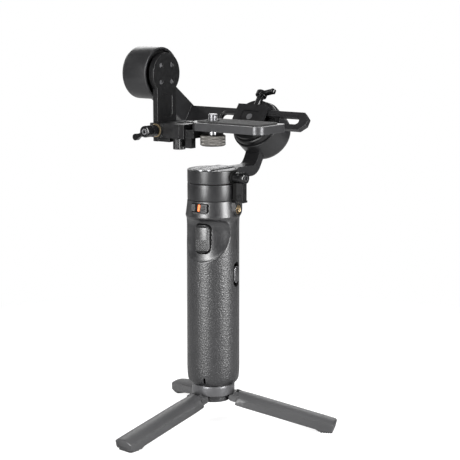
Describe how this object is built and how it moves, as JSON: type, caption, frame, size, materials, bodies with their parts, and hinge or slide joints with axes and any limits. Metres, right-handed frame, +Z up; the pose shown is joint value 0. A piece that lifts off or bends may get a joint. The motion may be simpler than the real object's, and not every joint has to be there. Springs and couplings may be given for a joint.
{
  "type": "camera gimbal",
  "caption": "Handheld three-axis stabiliser with a slotted roll arm, a clamped camera plate, a grip with trigger and controls, and a folding tripod foot.",
  "frame": {"origin": "on the surface the tripod stands on, under the middle of the object's outline", "axes": "+Z up along the pan axis; -Y is the way the camera looks, +X to the right seen from the camera's front; the handle is turned 9.5 degrees about Z"},
  "size_m": [0.1526, 0.1598, 0.2562],
  "materials": {
    "grip": "pebble-grained dark grey",
    "satin": "smooth satin dark grey",
    "metal": "fine-blasted dark grey anodising",
    "dark": "satin black anodising",
    "knob": "knurled warm grey",
    "brass": "turned",
    "steel": "plain",
    "rubber": "matt",
    "glass": "polished black",
    "orange": "moulded",
    "copper": "varnished winding",
    "board": "soldered board",
    "cell": "shrink wrap"
  },
  "bodies": {
    "handle": {"front_shell": "grip", "rear_shell": "grip", "base_cap": "satin", "neck_collar": "satin", "side_insert": "brass", "switch_marker": "orange", "trigger_switch": "dark", "rocker_bezel": "dark", "charge_port": "steel", "control_panel": "satin", "display_window": "glass", "main_board": "board", "battery_pack": "cell", "pan_housing": "metal", "pan_stator": "copper", "pan_bearing": "steel", "tripod_collar": "metal", "tripod_hub": "satin", "tripod_screw": "steel", "leg_pin_1": "steel", "leg_pin_2": "steel", "leg_pin_3": "steel"},
    "trigger": {"trigger": "satin"},
    "mode_slider": {"mode_slider": "satin"},
    "zoom_rocker": {"zoom_rocker": "satin"},
    "joystick_cradle": {"joystick_cradle": "dark"},
    "joystick_stick": {"joystick_stick": "rubber"},
    "mode_button": {"mode_button": "satin"},
    "power_button": {"power_button": "satin"},
    "leg_1": {"leg_1": "satin", "foot_pad_1": "rubber"},
    "leg_2": {"leg_2": "satin", "foot_pad_2": "rubber"},
    "leg_3": {"leg_3": "satin", "foot_pad_3": "rubber"},
    "pan_head": {"pan_rotor": "metal", "pan_cap": "metal", "lock_barrel": "dark", "pan_arm": "metal", "roll_housing": "metal", "roll_stator": "copper", "roll_bearing": "steel"},
    "pan_lock": {"pan_lock_latch": "dark"},
    "roll_arm": {"roll_rotor": "dark", "roll_clamp": "dark"},
    "roll_lever": {"roll_lever": "dark"},
    "tilt_arm": {"tilt_arm": "metal", "tilt_housing": "metal", "tilt_stator": "copper", "tilt_bearing": "steel"},
    "tilt_bracket": {"tilt_rotor": "dark", "bracket_rail": "metal"},
    "platform": {"platform_clamp": "dark", "lever_washer": "brass"},
    "platform_lever": {"platform_lever": "dark"},
    "thumb_screw": {"thumb_screw": "dark"},
    "camera_plate": {"camera_plate": "metal", "plate_pad": "rubber"},
    "camera_screw": {"camera_knob": "knob", "camera_screw": "steel"}
  },
  "joints": [
    {"name": "pan", "type": "hinge", "parent": "handle", "child": "pan_head", "pos_m": [-0.00384, 0.00534, 0.1674], "axis": [0, 0, 1], "continuous": true},
    {"name": "pan_lock", "type": "hinge", "parent": "pan_head", "child": "pan_lock", "pos_m": [0.01966, 0.00534, 0.1719], "axis": [1, 0, 0], "range_deg": [0, 100]},
    {"name": "roll", "type": "hinge", "parent": "pan_head", "child": "roll_arm", "pos_m": [-0.00384, 0.05295, 0.20355], "axis": [0, -0.807, 0.5906], "range_deg": [-45, 38]},
    {"name": "arm_balance", "type": "slide", "parent": "roll_arm", "child": "tilt_arm", "axis": [1, 0, 0], "range_m": [-0.012, 0.02]},
    {"name": "roll_clamp_lever", "type": "hinge", "parent": "roll_arm", "child": "roll_lever", "pos_m": [-0.00384, 0.04891, 0.20651], "axis": [0, 0.5906, 0.807], "range_deg": [0, 120]},
    {"name": "tilt", "type": "hinge", "parent": "tilt_arm", "child": "tilt_bracket", "pos_m": [-0.04734, 0.00534, 0.2384], "axis": [1, 0, 0], "range_deg": [-162, 162]},
    {"name": "platform_height", "type": "slide", "parent": "tilt_bracket", "child": "platform", "axis": [0, 0, 1], "range_m": [0, 0.01]},
    {"name": "platform_clamp_lever", "type": "hinge", "parent": "platform", "child": "platform_lever", "pos_m": [-0.04184, -0.00867, 0.2009], "axis": [0, -1, 0], "range_deg": [-100, 0]},
    {"name": "plate_lock_screw", "type": "hinge", "parent": "platform", "child": "thumb_screw", "pos_m": [-0.02784, -0.00067, 0.1884], "axis": [0, 0, 1], "continuous": true},
    {"name": "plate_slide", "type": "slide", "parent": "platform", "child": "camera_plate", "axis": [0, 1, 0], "range_m": [-0.008, 0.008]},
    {"name": "camera_screw_turn", "type": "hinge", "parent": "camera_plate", "child": "camera_screw", "pos_m": [-0.00384, 0.00534, 0.1954], "axis": [0, 0, 1], "continuous": true},
    {"name": "trigger_pull", "type": "hinge", "parent": "handle", "child": "trigger", "pos_m": [-0.00143, -0.00907, 0.1382], "axis": [0.9863, 0.165, 0], "range_deg": [0, 5], "stiffness_Nm_per_rad": 0.02, "springref_deg": -2.86},
    {"name": "mode_switch_slide", "type": "slide", "parent": "handle", "child": "mode_slider", "axis": [0.9863, 0.165, 0], "range_m": [-0.0028, 0]},
    {"name": "zoom_rock", "type": "hinge", "parent": "handle", "child": "zoom_rocker", "pos_m": [0.01155, 0.00791, 0.1059], "axis": [-0.165, 0.9863, 0], "range_deg": [-4, 4], "stiffness_Nm_per_rad": 0.01},
    {"name": "joystick_pan", "type": "hinge", "parent": "handle", "child": "joystick_cradle", "pos_m": [-0.00596, 0.01806, 0.1084], "axis": [0, 0, 1], "range_deg": [-10, 10], "stiffness_Nm_per_rad": 0.005},
    {"name": "joystick_tilt", "type": "hinge", "parent": "joystick_cradle", "child": "joystick_stick", "pos_m": [-0.00596, 0.01806, 0.1084], "axis": [0.9863, 0.165, 0], "range_deg": [-10, 10], "stiffness_Nm_per_rad": 0.005},
    {"name": "mode_button_press", "type": "slide", "parent": "handle", "child": "mode_button", "axis": [0.165, -0.9863, 0], "range_m": [0, 0.0006], "stiffness_N_per_m": 300, "springref_m": -0.0004},
    {"name": "power_button_press", "type": "slide", "parent": "handle", "child": "power_button", "axis": [0.165, -0.9863, 0], "range_m": [0, 0.0006], "stiffness_N_per_m": 300, "springref_m": -0.0004},
    {"name": "leg_1_fold", "type": "hinge", "parent": "handle", "child": "leg_1", "pos_m": [-0.00535, -0.00909, 0.0204], "axis": [0.9945, -0.1045, 0], "range_deg": [0, 76]},
    {"name": "leg_2_fold", "type": "hinge", "parent": "handle", "child": "leg_2", "pos_m": [0.00941, 0.01123, 0.0204], "axis": [-0.4067, 0.9135, 0], "range_deg": [0, 76]},
    {"name": "leg_3_fold", "type": "hinge", "parent": "handle", "child": "leg_3", "pos_m": [-0.01557, 0.01386, 0.0204], "axis": [-0.5878, -0.809, 0], "range_deg": [0, 76]}
  ]
}
